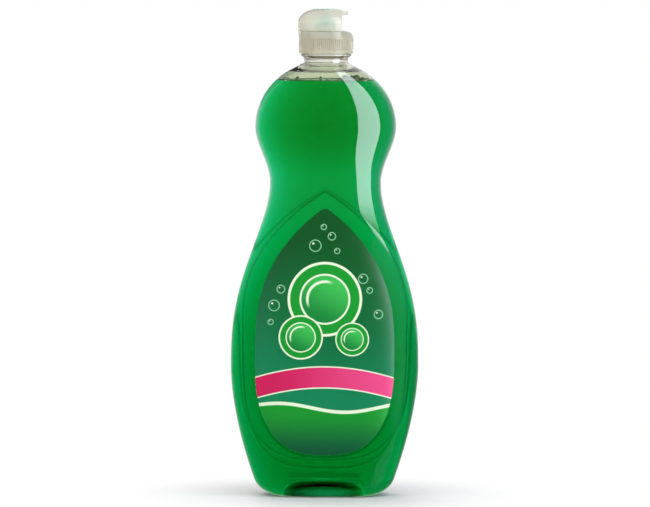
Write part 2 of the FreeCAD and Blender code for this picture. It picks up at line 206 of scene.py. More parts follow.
def inset_by(size_at, height, inset):
    """What a wall takes off a half-size, measured square to the slope."""
    slope = (size_at(height + 0.01) - size_at(height - 0.01)) / 0.02
    return inset * math.sqrt(1 + slope * slope)


def side_station(height, inset, rounding=0.0):
    """Half-width, half-depth, height and squareness of one ring of the side wall."""
    width = half_width(height) - inset_by(half_width, height, inset)
    depth = half_depth(height) - inset_by(half_depth, height, inset)
    width -= (FOOT_CORNER[0] - inset) * rounding
    depth -= (FOOT_CORNER[1] - inset) * rounding
    return (width, depth, height, squareness(height))


def quarter(count):
    """Angles from 0 to 90 degrees, both ends included."""
    return [math.pi / 2 * k / count for k in range(count + 1)]


def push_up_stations(inset):
    """The dome under the bottle from its middle to the standing ring, which is `inset` up."""
    half_w, half_d, rise = (size + inset for size in PUSH_UP)
    stations = []
    for turn in reversed(quarter(16)):
        if turn < 0.2:
            break
        along = math.cos(turn) ** PUSH_UP_FULLNESS if turn < math.pi / 2 else 0.0
        stations.append((half_w * along, half_d * along, rise * math.sin(turn) ** PUSH_UP_FULLNESS, 2.0))
    stations.append((half_w + 0.1, half_d + 0.1, inset + 0.55, 2.05))
    stations.append((half_w + 0.6, half_d + 0.6, inset + 0.12, 2.1))
    stations.append((half_w + PUSH_UP_RIM - inset, half_d + PUSH_UP_RIM - inset, inset, 2.15))
    return stations


def corner_stations(inset, count=12):
    rise = FOOT_CORNER[2] - inset
    return [
        side_station(inset + rise * (1 - math.cos(turn)), inset, 1 - math.sin(turn))
        for turn in quarter(count)
    ]


def wall_stations(inset, top):
    """Rings up the side and over the shoulder, as far as `top`."""
    stations = []
    for k in range(1, SIDE_RINGS + 1):
        height = FOOT_CORNER[2] + (BULB_HEIGHT - FOOT_CORNER[2]) * k / SIDE_RINGS
        stations.append(side_station(height, inset))
    shoulder_top = BODY_TOP - inset
    for turn in quarter(22)[1:]:
        height = BULB_HEIGHT + (shoulder_top - BULB_HEIGHT) * math.sin(turn)
        if height < top - 0.05:
            stations.append(side_station(height, inset))
    if top < shoulder_top:
        stations.append(side_station(top, inset))
    return stations


def round_station(radius, height):
    return (radius, radius, height, 2.0)


def leaf_half_width(heights, leaf):
    """Half-width of a leaf outline at each height, 0 outside it."""
    blunt = leaf["width"] / (math.sqrt(leaf["width"] ** 2 + leaf["tip"] ** 2) - leaf["tip"])
    rise = np.clip((heights - leaf["widest"]) / (leaf["top"] - leaf["widest"]), 0, 1)
    if leaf is PANEL_LEAF:
        land = half_width(leaf["widest"]) - leaf["width"]
        body = np.array([half_width(h) for h in np.clip(heights, leaf["widest"], leaf["top"])])
        side = body * (1 - rise**PANEL_POINT_POWER) - land * (1 - rise) ** 2
    else:
        side = leaf["width"] * (1 - rise**LABEL_POINT_POWER)
    full = side / blunt + leaf["tip"]
    upper = np.sqrt(np.maximum(full**2 - leaf["tip"] ** 2, 0))
    fall = np.clip((leaf["widest"] - heights) / (leaf["widest"] - leaf["bottom"]), 0, 1)
    lower = leaf["width"] * (1 - fall ** leaf["roundness"]) ** (1 / leaf["roundness"])
    half = np.where(heights > leaf["widest"], upper, lower)
    return np.where((heights < leaf["bottom"]) | (heights > leaf["top"]), 0.0, half)


def inside_leaf(across, heights, leaf):
    """Roughly how far each point lies inside a leaf outline, in millimetres, or 0."""
    half = leaf_half_width(heights, leaf)
    step = 0.25
    slope = (leaf_half_width(heights + step, leaf) - leaf_half_width(heights - step, leaf)) / (2 * step)
    return np.where(half > 0, np.maximum(half - np.abs(across), 0) / np.sqrt(1 + slope**2), 0)


def panel_share(across, heights):
    """0 outside the sunk panels, 1 on their floor, with a crease at the edge."""
    share = np.clip(inside_leaf(across, heights, PANEL_LEAF) / PANEL_SLOPE, 0, 1)
    return 1 - (1 - share) ** 2.2


def front_surface(across, heights):
    """Distance of the front panel's surface from the bottle's middle plane."""
    width = np.array([half_width(h) for h in heights])
    depth = np.array([half_depth(h) for h in heights])
    power = np.array([squareness(h) for h in heights])
    bare = np.maximum(1 - np.abs(across / width) ** power, 0) ** (1 / power)
    return bare * (depth - PANEL_DEPTH * panel_share(across, heights))


# Modelling by hand

def deselect():
    if bpy.context.object and bpy.context.object.mode != "OBJECT":
        bpy.ops.object.mode_set(mode="OBJECT")
    bpy.ops.object.select_all(action="DESELECT")


def take(piece):
    deselect()
    piece.select_set(True)
    bpy.context.view_layer.objects.active = piece
    return piece


def edit(piece):
    take(piece)
    bpy.ops.object.mode_set(mode="EDIT")


def named(name):
    piece = bpy.context.object
    piece.name = name
    piece.data.name = name
    return piece


def turned(name, profile, steps, angle=math.tau):
    """A profile of (radius, height) points drawn by extruding one vertex, then spun about the axis."""
    deselect()
    bpy.ops.mesh.primitive_plane_add(size=MM, location=(0, 0, 0))
    piece = named(name)
    bpy.ops.object.mode_set(mode="EDIT")
    bpy.ops.mesh.select_mode(type="VERT")
    bpy.ops.mesh.select_all(action="SELECT")
    bpy.ops.mesh.merge(type="CENTER")
    bpy.ops.transform.translate(value=(profile[0][0] * MM, 0, profile[0][1] * MM))
    for (r0, z0), (r1, z1) in zip(profile, profile[1:]):
        move = ((r1 - r0) * MM, 0, (z1 - z0) * MM)
        bpy.ops.mesh.extrude_region_move(TRANSFORM_OT_translate={"value": move})
    bpy.ops.mesh.select_all(action="SELECT")
    bpy.ops.mesh.spin(steps=steps, angle=angle, center=(0, 0, 0), axis=(0, 0, 1))
    bpy.ops.mesh.select_all(action="SELECT")
    bpy.ops.mesh.remove_doubles(threshold=0.002 * MM)
    bpy.ops.mesh.normals_make_consistent(inside=False)
    bpy.ops.object.mode_set(mode="OBJECT")
    return piece


def vertices_of(piece):
    places = np.zeros(len(piece.data.vertices) * 3)
    piece.data.vertices.foreach_get("co", places)
    return places.reshape(-1, 3) / MM


def put_vertices(piece, places):
    piece.data.vertices.foreach_set("co", (places * MM).ravel())
    piece.data.update()


def blown(name, stations, steps=BODY_STEPS):
    """A body turned through the stations' half-widths, then pressed to each station's own section."""
    profile = [(width, height) for width, _, height, _ in stations]
    piece = turned(name, profile, steps)
    places = vertices_of(piece)
    radius = np.hypot(places[:, 0], places[:, 1])
    table = np.array(stations)
    nearest = np.empty(len(places), int)
    for start in range(0, len(places), BATCH):
        part = slice(start, start + BATCH)
        gap = (radius[part, None] - table[None, :, 0]) ** 2 + (places[part, 2, None] - table[None, :, 2]) ** 2
        nearest[part] = gap.argmin(1)
    width, depth, height, power = table[nearest].T
    turn = np.arctan2(places[:, 1], places[:, 0])
    across, along = np.cos(turn), np.sin(turn)
    reach = (np.abs(across) ** power + np.abs(along) ** power) ** (-1 / power)
    x, y = width * across * reach, depth * along * reach
    whole_depth = np.array([half_depth(h) for h in np.clip(height, 0, BODY_TOP)])
    y *= 1 - PANEL_DEPTH * panel_share(x, height) / whole_depth
    put_vertices(piece, np.stack([x, y, height], 1))
    return smooth(piece, 60)


def smooth(piece, angle=35):
    take(piece)
    bpy.ops.object.shade_smooth_by_angle(angle=math.radians(angle))
    return piece


def modify(piece, kind, **settings):
    """Adds a modifier with these settings and applies it."""
    take(piece)
    modifier = piece.modifiers.new(kind.title(), kind)
    for key, value in settings.items():
        setattr(modifier, key, value)
    bpy.ops.object.modifier_apply(modifier=modifier.name)
    return piece


def united(piece, *others):
    """One skin round several overlapping solids."""
    for other in others:
        modify(piece, "BOOLEAN", operation="UNION", solver="EXACT", object=other)
        bpy.data.objects.remove(other)
    return piece


def closed(piece):
    """Merges what a union left split, and fills the holes that are left."""
    edit(piece)
    bpy.ops.mesh.select_mode(type="VERT")
    bpy.ops.mesh.select_all(action="SELECT")
    bpy.ops.mesh.remove_doubles(threshold=0.01 * MM)
    bpy.ops.mesh.dissolve_degenerate(threshold=0.004 * MM)
    bpy.ops.mesh.select_all(action="SELECT")
    bpy.ops.mesh.fill_holes(sides=0)
    bpy.ops.mesh.normals_make_consistent(inside=False)
    bpy.ops.object.mode_set(mode="OBJECT")
    return piece


def block(name, low, high, edge=0.0):
    """A box between two corners, with rounded edges."""
    deselect()
    middle = [(a + b) / 2 * MM for a, b in zip(low, high)]
    bpy.ops.mesh.primitive_cube_add(size=1, location=middle)
    piece = named(name)
    piece.scale = [(b - a) * MM for a, b in zip(low, high)]
    bpy.ops.object.transform_apply(location=True, rotation=True, scale=True)
    if edge:
        edit(piece)
        bpy.ops.mesh.select_all(action="SELECT")
        bpy.ops.mesh.bevel(offset=edge * MM, segments=3, affect="EDGES")
        bpy.ops.object.mode_set(mode="OBJECT")
    return piece


def joined(piece, *others):
    take(piece)
    for other in others:
        other.select_set(True)
    bpy.ops.object.join()
    return piece


# Finishes: Python maths on a socket adds Math nodes

class Value:
    """A number that changes over a surface."""

    def __init__(self, finish, socket):
        self.finish = finish
        self.socket = socket

    def math(self, operation, *others):
        return self.finish.value("ShaderNodeMath", {"operation": operation}, self, *others)

    def __add__(self, other):
        return self.math("ADD", other)

    __radd__ = __add__

    def __mul__(self, other):
        return self.math("MULTIPLY", other)

    __rmul__ = __mul__

    def __sub__(self, other):
        return self.math("SUBTRACT", other)

    def __rsub__(self, other):
        return self.finish.value("ShaderNodeMath", {"operation": "SUBTRACT"}, other, self)

    def __truediv__(self, other):
        return self.math("DIVIDE", other)

    def __pow__(self, other):
        return self.math("POWER", other)

    def __abs__(self):
        return self.math("ABSOLUTE")


class Finish:
    """One material, built round its Principled shader."""

    def __init__(self, name, **plain):
        self.material = bpy.data.materials.new(name)
        self.material.use_nodes = True
        self.tree = self.material.node_tree
        self.shader = self.tree.nodes["Principled BSDF"]
        for socket, value in plain.items():
            self.shader.inputs[socket.replace("_", " ").title().replace("Ior", "IOR")].default_value = value

    def node(self, kind, settings, *inputs, **named_inputs):
        made = self.tree.nodes.new(kind)
        for key, value in settings.items():
            if key == "stops":
                self.set_stops(made.color_ramp, value)
            else:
                setattr(made, key, value)
        for key, value in list(enumerate(inputs)) + list(named_inputs.items()):
            self.feed(made.inputs[key], value)
        return made

    def feed(self, socket, value):
        if isinstance(value, Value):
            self.tree.links.new(value.socket, socket)
        elif value is not None:
            socket.default_value = value

    def set_stops(self, ramp, stops):
        while len(ramp.elements) < len(stops):
            ramp.elements.new(1.0)
        for element, (place, colour) in zip(ramp.elements, stops):
            element.position = place
            element.color = colour

    def value(self, kind, settings, *inputs, output=0, **named_inputs):
        return Value(self, self.node(kind, settings, *inputs, **named_inputs).outputs[output])

    def set(self, socket, value):
        self.feed(self.shader.inputs[socket], value)

    def place(self):
        """Object coordinates in millimetres: x, y and z."""
        spot = self.value("ShaderNodeTexCoord", {}, output=3)
        split = self.node("ShaderNodeSeparateXYZ", {}, spot)
        return spot, [Value(self, split.outputs[k]) * (1 / MM) for k in range(3)]

    def edge(self, value, low, high):
        """0 below low, 1 above high, eased between them."""
        settings = {"interpolation_type": "SMOOTHSTEP"}
        return self.value("ShaderNodeMapRange", settings, value, low, high, 0.0, 1.0)

    def line(self, value, place, full, gone):
        """1 where the value lies within full of the place, 0 where it lies beyond gone."""
        return 1 - self.edge(abs(value - place), full, gone)

    def noise(self, spot, scale, detail=3.0, rough=0.5):
        return self.value("ShaderNodeTexNoise", {}, Vector=spot, Scale=scale, Detail=detail, Roughness=rough)

    def mixed(self, share, below, above):
        """A colour between two colours."""
        made = self.node("ShaderNodeMix", {"data_type": "RGBA"})
        for index, value in ((0, share), (6, below), (7, above)):
            self.feed(made.inputs[index], value)
        return Value(self, made.outputs[2])

    def bump(self, height, strength, distance):
        made = self.value("ShaderNodeBump", {}, Height=height, Strength=strength, Distance=distance * MM)
        self.set("Normal", made)

    def absorb(self, density, colour):
        """Plain Volume Absorption behind the surface."""
        inside = self.node("ShaderNodeVolumeAbsorption", {}, Color=colour, Density=density)
        output = self.tree.nodes["Material Output"]
        self.tree.links.new(inside.outputs[0], output.inputs["Volume"])


def rgb(red, green, blue):
    """A colour as it is seen, 0 to 255, turned to the renderer's own values."""
    def linear(level):
        level /= 255
        return level / 12.92 if level <= 0.04045 else ((level + 0.055) / 1.055) ** 2.4

    return (linear(red), linear(green), linear(blue), 1.0)


CREAM = rgb(226, 240, 208)
PALE_GREEN = rgb(140, 205, 160)
BRIGHT_GREEN = rgb(10, 150, 40)
MID_GREEN = rgb(0, 105, 45)
DEEP_GREEN = rgb(0, 84, 28)
TEAL = rgb(0, 132, 84)
MAGENTA = rgb(205, 10, 85)
ROSE = rgb(232, 70, 130)
PAPER_WHITE = rgb(225, 230, 222)
NEARLY_CLEAR = (0.985, 1.0, 0.99, 1.0)
FOOT_TINT = (0.60, 0.67, 0.65, 1.0)
# Painted shade on the push-up: two darkened tints, mixed at random
PAINTED_UNDERSIDE_SHADE = ((0.36, 0.5, 0.42, 1.0), (0.46, 0.6, 0.5, 1.0))
NECK_TINTS = ((0.78, 0.83, 0.68, 1.0), (0.92, 0.91, 0.85, 1.0))
# Colour of the painted shade along the panels' crease
PAINTED_CREASE_SHADE = (0.1, 0.25, 0.15, 1.0)
# Colour of the painted shadow under the front label's lower edge
PAINTED_SHADOW_UNDER_LABEL = (0.05, 0.2, 0.1, 1.0)


def beyond_foot(x, z, leaf):
    """How far a point lies outside a leaf below its widest height, in millimetres."""
    power = leaf["roundness"]
    drop = z * -1 + leaf["widest"]
    across = abs(x) / leaf["width"]
    down = abs(drop) / (leaf["widest"] - leaf["bottom"])
    reach = (across**power + down**power) ** (1 / power)
    return (x * x + drop * drop) ** 0.5 * (1 - reach**-1)


def beyond_panel(x, z):
    """How far a point of the surface lies outside the panels' edge, in millimetres."""
    leaf = PANEL_LEAF
    lower = beyond_foot(x, z, leaf)
    climb = ((z - BELLY_HEIGHT) / (WAIST_HEIGHT - BELLY_HEIGHT)).math("MAXIMUM", 0.0) ** WAIST_EASE
    body = BELLY_HALF_WIDTH - (BELLY_HALF_WIDTH - WAIST_HALF_WIDTH) * climb * climb * (3 - 2 * climb)
    rise = ((z - leaf["widest"]) / (leaf["top"] - leaf["widest"])).math("MAXIMUM", 0.0)
    land = half_width(leaf["widest"]) - leaf["width"]
    side = body * (1 - rise**PANEL_POINT_POWER) - land * (1 - rise) ** 2
    upper = (abs(x) - side) * (0.85 - 0.35 * rise)
    above = z.math("GREATER_THAN", leaf["widest"])
    return lower * (1 - above) + upper * above


def body_wall(finish, x, y, z):
    """The wall in front of the soap: its coat and its tint, with painted shade along the panels' crease, a
    painted highlight line just outside it, and a painted shadow under the front label's lower edge.
    """
    away = beyond_panel(x, z)
    ridge = finish.line(away, 0.3, 0.35, 0.9) * finish.edge(z, 106.0, 128.0)
    finish.set("Coat Weight", finish.edge(z, 145.0, 172.0).math("MAXIMUM", ridge))
    wall = finish.mixed(finish.edge(z, 20.0, 260.0), FOOT_TINT, NEARLY_CLEAR)
    # Painted highlight: a pale line just outside the panels' crease
    wall = finish.mixed(0.35 * finish.line(away, 1.3, 0.1, 0.7), wall, (1.0, 1.0, 1.0, 1.0))
    # Painted shadow: a dark line under the front label's lower edge, on the front only
    under = finish.line(beyond_foot(x, z, LABEL_LEAF), 1.0, 0.3, 0.9) * finish.edge(z * -1, -52.0, -36.0)
    in_front = y.math("LESS_THAN", 0.0)
    wall = finish.mixed(0.75 * (under * in_front), wall, PAINTED_SHADOW_UNDER_LABEL)
    # Painted shade: a dark line along the panels' crease, front and back
    finish.set("Base Color", finish.mixed(0.55 * finish.line(away, 0.0, 0.1, 0.75), wall, PAINTED_CREASE_SHADE))
    return CREASE_STEP * finish.edge(away, -CREASE_REACH, CREASE_REACH)


def clear_finish(name, ior, part=None):
    """Blown clear plastic with the faint waviness of its mould. The neck is tinted darker at the crown, the
    body darker towards the foot, and the underside is darkened with painted shade.
    """
    finish = Finish(name, base_color=NEARLY_CLEAR, transmission_weight=1.0, ior=ior, coat_ior=1.55)
    spot, (x, y, z) = finish.place()
    relief = 0.07 * finish.noise(spot, 38.0, 2.0)
    if part == "underside":
        # Painted shade: the push-up's wall darkened, varying at random
        finish.set("Base Color", finish.mixed(finish.noise(spot, 60.0), *PAINTED_UNDERSIDE_SHADE))
    if part == "neck":
        finish.set("Base Color", finish.mixed(finish.edge(z, 240.0, 247.0), *NECK_TINTS))
        finish.set("Coat Weight", 0.8)
    if part == "body":
        relief = relief + body_wall(finish, x, y, z)
    finish.set("Roughness", 0.012 + 0.02 * finish.edge(finish.noise(spot, 160.0), 0.45, 0.75))
    finish.bump(relief, 1.0, 1.0)
    return finish.material


def soap_finish(name, ior, colour=(1.0, 1.0, 1.0, 1.0), clear=1.0, coat=0.0):
    """Thick green soap: it takes all the red, most of the blue and some of the green."""
    finish = Finish(
        name, base_color=colour, transmission_weight=clear, roughness=0.0, ior=ior, coat_weight=coat
    )
    finish.absorb(SOAP_DENSITY, SOAP_TINT)
    return finish.material


def cap_finish():
    """Natural plastic of the closure: milky, warm, with a soft sheen and flow marks; the skirt is painted
    darker and the lid lighter, as light and shade would make them, with a pale band of painted light on the
    lid's front.
    """
    finish = Finish("natural_cap_plastic", transmission_weight=0.62, ior=1.38)
    spot, (x, y, z) = finish.place()
    flow = finish.noise(spot, 90.0, 3.0, 0.6)
    # Painted light and shade: the skirt darker, the lid lighter; the flow marks are the plastic's own
    skirt = finish.mixed(finish.edge(flow, 0.3, 0.7), rgb(236, 229, 204), rgb(245, 240, 220))
    lid = finish.mixed(finish.edge(flow, 0.3, 0.7), rgb(255, 250, 234), rgb(255, 254, 244))
    tone = finish.mixed(finish.edge(z, 256.0, 266.0), skirt, lid)
    near_axis = 1 - finish.edge((x * x + y * y) ** 0.5, 6.6, 7.6)
    # Painted light: a pale mint band on the lid's front, where the spout shows through
    middle = finish.line(x, -1.5, 3.0, 9.0)
    band = middle * finish.edge(z, 264.0, 267.0) * (1 - finish.edge(z, 269.5, 273.0))
    tone = finish.mixed(0.4 * band, tone, rgb(222, 250, 232))
    finish.set("Base Color", finish.mixed(near_axis, tone, rgb(205, 245, 222)))
    finish.set("Roughness", 0.16 + 0.1 * flow)
    finish.bump(flow, 0.1, 0.1)
    return finish.material


def ring_mask(finish, x, z, centre, radius, breadth):
    """1 on a ring of that breadth round the centre, 0 elsewhere."""
    away = ((x - centre[0]) ** 2 + (z - centre[1]) ** 2) ** 0.5
    return finish.line(away, radius, breadth / 2 - 0.12, breadth / 2 + 0.12)


def disc_mask(finish, x, z, centre, radius):
    away = ((x - centre[0]) ** 2 + (z - centre[1]) ** 2) ** 0.5
    return 1 - finish.edge(away, radius - 0.15, radius + 0.15)


# Print of the labels: centre (across, up) and radius of each plate and bubble
RIBBON_BOW = 0.0042
RIBBON_HEIGHT = 68.5
BACK_RIBBON_HEIGHT = 114.5
WAVE_HEIGHT = 51.0
BACK_PANEL = (20.5, 21.0, 84.0)  # half-width, half-height and height of its middle
PLATES = (((0.0, 112.5), 21.0), ((-13.5, 91.0), 12.5), ((15.5, 90.0), 9.5))
BUBBLES = (
    ((-5.5, 142.5), 3.2), ((3.8, 147.8), 2.1), ((-0.8, 153.0), 1.5), ((6.8, 139.6), 1.5),
    ((21.5, 124.0), 2.6), ((25.2, 117.5), 1.6), ((-24.8, 118.0), 2.2), ((-28.6, 108.8), 3.0),
    ((-30.5, 99.5), 1.5), ((30.2, 104.0), 2.4), ((25.5, 45.5), 2.4), ((20.8, 40.8), 1.4),
    ((-22.2, 43.0), 1.7),
)


def front_print():
    """Print of the front label: plates and bubbles on green over a wave and a ribbon."""
    finish = Finish("front_label_film", coat_weight=0.12, coat_roughness=0.2, ior=1.4)
    spot, (x, y, z) = finish.place()
    glow = finish.edge(z + 0.35 * x, 150.0, 40.0)
    ink = finish.mixed(glow, DEEP_GREEN, TEAL)
    halo = finish.edge(((x * x) + (z - 104.0) ** 2) ** 0.5, 46.0, 10.0)
    ink = finish.mixed(halo * 0.55, ink, MID_GREEN)
    for centre, radius in BUBBLES:
        ink = finish.mixed(ring_mask(finish, x, z, centre, radius, 0.55) * 0.85, ink, PALE_GREEN)
        glint = (centre[0] - radius * 0.35, centre[1] + radius * 0.38)
        ink = finish.mixed(disc_mask(finish, x, z, glint, radius * 0.2) * 0.9, ink, CREAM)
    for centre, radius in PLATES:
        ink = finish.mixed(disc_mask(finish, x, z, centre, radius), ink, CREAM)
        ink = finish.mixed(disc_mask(finish, x, z, centre, radius * 0.93), ink, BRIGHT_GREEN)
        ink = finish.mixed(disc_mask(finish, x, z, centre, radius * 0.68), ink, CREAM)
        well = finish.edge((x - centre[0]) * 0.5 + (z - centre[1]), -radius * 0.8, radius * 0.8)
        inner = finish.mixed(well, rgb(0, 128, 52), rgb(60, 190, 80))
        ink = finish.mixed(disc_mask(finish, x, z, centre, radius * 0.63), ink, inner)
        shine = ring_mask(finish, x, z, centre, radius * 0.47, radius * 0.07)
        lit = finish.edge(z - centre[1] - (x - centre[0]), radius * 0.15, radius * 0.5)
        ink = finish.mixed(shine * lit, ink, CREAM)
    ribbon = z + RIBBON_BOW * x * x - RIBBON_HEIGHT
    ink = finish.mixed(1 - finish.edge(abs(ribbon), 6.2, 6.45), ink, CREAM)
    shade = finish.edge(x, -34.0, 34.0)
    ink = finish.mixed(1 - finish.edge(abs(ribbon), 5.5, 5.75), ink, finish.mixed(shade, MAGENTA, ROSE))
    wave = z + 2.4 * (x * 0.085 + 0.6).math("SINE") - WAVE_HEIGHT
    ink = finish.mixed(1 - finish.edge(abs(wave), 1.1, 1.3), ink, CREAM)
    hill = finish.edge(wave * -1, 0.6, 0.9)
    ink = finish.mixed(hill, ink, finish.mixed(finish.edge(z, 24.0, 52.0), rgb(0, 84, 50), BRIGHT_GREEN))
    finish.set("Base Color", ink)
    finish.set("Roughness", 0.3 + 0.08 * finish.noise(spot, 60.0, 1.0))
    return finish.material


def back_print():
    """Print of the back label: a pale plain panel framed by green, with a ribbon and three plates."""
    finish = Finish("back_label_film", transmission_weight=0.3, coat_weight=0.12, coat_roughness=0.2, ior=1.4)
    spot, (x, y, z) = finish.place()
    ink = finish.mixed(finish.edge(z, 150.0, 35.0), DEEP_GREEN, TEAL)
    half_w, half_h, middle = BACK_PANEL
    panel = ((abs(x) / half_w) ** 6 + (abs(z - middle) / half_h) ** 6) ** (1 / 6)
    ink = finish.mixed(1 - finish.edge(panel, 1.0, 1.01), ink, CREAM)
    ink = finish.mixed(1 - finish.edge(panel, 0.965, 0.975), ink, rgb(196, 226, 188))
    ribbon = z + RIBBON_BOW * x * x - BACK_RIBBON_HEIGHT
    ink = finish.mixed(1 - finish.edge(abs(ribbon), 2.6, 2.8), ink, MAGENTA)
    for column in (-11.0, 0.0, 11.0):
        centre = (column, 50.0)
        ink = finish.mixed(disc_mask(finish, x, z, centre, 4.2), ink, CREAM)
        ink = finish.mixed(disc_mask(finish, x, z, centre, 3.7), ink, BRIGHT_GREEN)
        ink = finish.mixed(disc_mask(finish, x, z, centre, 2.4), ink, PALE_GREEN)
    finish.set("Base Color", ink)
    finish.set("Roughness", 0.3 + 0.08 * finish.noise(spot, 60.0, 1.0))
    return finish.material


def film_reverse_with_painted_glow():
    """The glue side of the labels, seen through the soap: white film that lets some light by, and that glows
    faintly with painted light in its paper colour.
    """
    finish = Finish("label_reverse_with_painted_glow", transmission_weight=0.2, roughness=0.5, ior=1.45, emission_strength=0.4)
    spot, _ = finish.place()
    paper_and_painted_glow = finish.mixed(finish.noise(spot, 90.0), rgb(205, 214, 204), PAPER_WHITE)
    finish.set("Base Color", paper_and_painted_glow)
    # Painted light: the film glows faintly in its own paper colour
    finish.set("Emission Color", paper_and_painted_glow)
    return finish.material


# Pieces of the bottle

def bottle_shell():
    """Outside from the push-up to the mouth, then down the inside: one closed wall."""
    stations = push_up_stations(0.0)
    stations += corner_stations(0.0)
    stations += wall_stations(0.0, BODY_TOP)
    outside = [
        (CROWN_RADIUS, 240.85), (19.4, 241.25), (18.2, 241.9), (17.0, 242.6), (15.8, 243.3), (14.8, 243.85),
        (13.9, 244.25), (13.2, 244.5), (12.8, 244.7), (NECK_RADIUS + 0.1, CROWN_TOP + 0.15),
        (NECK_RADIUS, CROWN_TOP + 0.6), (NECK_RADIUS, 246.4),
        (NECK_RADIUS + 0.05, RING_BOTTOM - 0.2), (NECK_RADIUS + 0.3, RING_BOTTOM + 0.1),
        (RING_RADIUS - 0.35, RING_TOP - 1.15), (RING_RADIUS - 0.08, RING_TOP - 0.95),
        (RING_RADIUS, RING_TOP - 0.7),
        (RING_RADIUS, RING_TOP - 0.3), (RING_RADIUS - 0.1, RING_TOP - 0.08), (RING_RADIUS - 0.35, RING_TOP),
        (NECK_RADIUS + 0.3, RING_TOP), (NECK_RADIUS + 0.05, RING_TOP + 0.1), (NECK_RADIUS, RING_TOP + 0.35),
        (NECK_RADIUS, 255.0), (NECK_RADIUS, NECK_TOP - 0.5), (NECK_RADIUS - 0.15, NECK_TOP - 0.12),
        (NECK_RADIUS - 0.5, NECK_TOP), (NECK_BORE + 0.3, NECK_TOP), (NECK_BORE + 0.06, NECK_TOP - 0.1),
        (NECK_BORE, NECK_TOP - 0.4), (NECK_BORE, 254.0), (NECK_BORE, CROWN_TOP - CROWN_WALL + 0.9),
        (NECK_BORE + 0.2, CROWN_TOP - CROWN_WALL + 0.2), (NECK_BORE + 0.9, CROWN_TOP - CROWN_WALL - 0.3),
        (13.2, 242.7), (14.8, 241.9), (16.6, 241.0), (18.4, 240.15), (19.6, 239.95),
    ]
    stations += [round_station(*place) for place in outside]
    stations += list(reversed(wall_stations(BODY_WALL, BODY_TOP)))
    stations += list(reversed(corner_stations(BODY_WALL)))
    stations += list(reversed(push_up_stations(BODY_WALL)))
    shell = blown("bottle_shell", stations)
    for material in (
        clear_finish("clear_bottle_plastic", 1.25, "neck"),
        clear_finish("clear_bottle_plastic_wetted", 1.0),
        clear_finish("clear_bottle_plastic_before_soap", 1.08, "body"),
        clear_finish("clear_bottle_plastic_underside_with_painted_shade", 1.45, "underside"),
    ):
        shell.data.materials.append(material)
    centre = np.array([list(face.center) for face in shell.data.polygons]) / MM
    normal = np.array([list(face.normal) for face in shell.data.polygons])
    inward = (centre[:, 0] * normal[:, 0] + centre[:, 1] * normal[:, 1]) < 0
    half_w, half_d, top = BASE_ZONE
    base = (centre[:, 2] < top) & (np.hypot(centre[:, 0] / half_w, centre[:, 1] / half_d) < 1.5)
    upward = normal[:, 2] > 0.2
    inside = np.where(base, upward, inward)
    below = centre[:, 2] < SOAP_LEVEL
    part = np.where(below, np.where(inside, 1, 2), 0)
    dome = np.hypot(centre[:, 0] / (PUSH_UP[0] + PUSH_UP_RIM), centre[:, 1] / (PUSH_UP[1] + PUSH_UP_RIM)) < 1
    part[dome & ~inside & (centre[:, 2] < PUSH_UP[2] + 0.2)] = 3
    shell.data.polygons.foreach_set("material_index", part.astype(np.int32))
    return shell


def helix(name, radius_in, radius_out, bottom, pitch, turns, height, phase):
    """A screw thread: a trapezium screwed about the axis, with closed ends."""
    deselect()
    bpy.ops.mesh.primitive_plane_add(size=MM, location=(0, 0, 0))
    piece = named(name)
    corners = [
        (radius_in, -height / 2), (radius_out, -height / 4),
        (radius_out, height / 4), (radius_in, height / 2),
    ]
    for vertex, index in zip(piece.data.vertices, (0, 1, 3, 2)):
        r, z = corners[index]
        vertex.co = (r * MM * math.cos(phase), r * MM * math.sin(phase), (bottom + z) * MM)
    edit(piece)
    bpy.ops.mesh.select_all(action="SELECT")
    bpy.ops.mesh.delete(type="ONLY_FACE")
    bpy.ops.object.mode_set(mode="OBJECT")
    modify(
        piece, "SCREW", angle=math.tau * turns, screw_offset=pitch * turns * MM,
        steps=int(72 * turns), render_steps=int(72 * turns), use_merge_vertices=True,
    )
    edit(piece)
    bpy.ops.mesh.select_mode(type="EDGE")
    bpy.ops.mesh.select_all(action="DESELECT")
    bpy.ops.mesh.select_non_manifold()
    bpy.ops.mesh.fill()
    bpy.ops.mesh.select_all(action="SELECT")
    bpy.ops.mesh.normals_make_consistent(inside=False)
    bpy.ops.object.mode_set(mode="OBJECT")
    return smooth(piece, 40)


def soap_fill():
    """The liquid just inside the wall, with its edge drawn up the plastic."""
    inset = BODY_WALL + SOAP_GAP
    stations = push_up_stations(inset)
    stations += corner_stations(inset)
    stations += wall_stations(inset, SOAP_LEVEL + MENISCUS * 0.6)
    rim_w, rim_d, rim_z, power = stations[-1]
    for share in (0.15, 0.5, 1.0, 1.8, 3.0, 5.0, 9.0, 14.0):
        drop = MENISCUS * math.exp(-share / 1.1)
        stations.append((rim_w - share, rim_d - share, SOAP_LEVEL - MENISCUS * 0.4 + drop, power))
    stations.append((0.0, 0.0, SOAP_LEVEL - MENISCUS * 0.4, power))
    soap = blown("dish_soap_fill", stations)
    soap.data.materials.append(soap_finish("green_soap", 1.0))
    soap.data.materials.append(soap_finish("green_soap_surface", 1.1, rgb(20, 175, 75), 0.5, 0.5))
    for face in soap.data.polygons:
        away = math.hypot(face.center.x, face.center.y) / MM
        if face.center.z / MM > SOAP_LEVEL - MENISCUS and face.normal.z > 0.3 and away < rim_w - 0.1:
            face.material_index = 1
    return soap


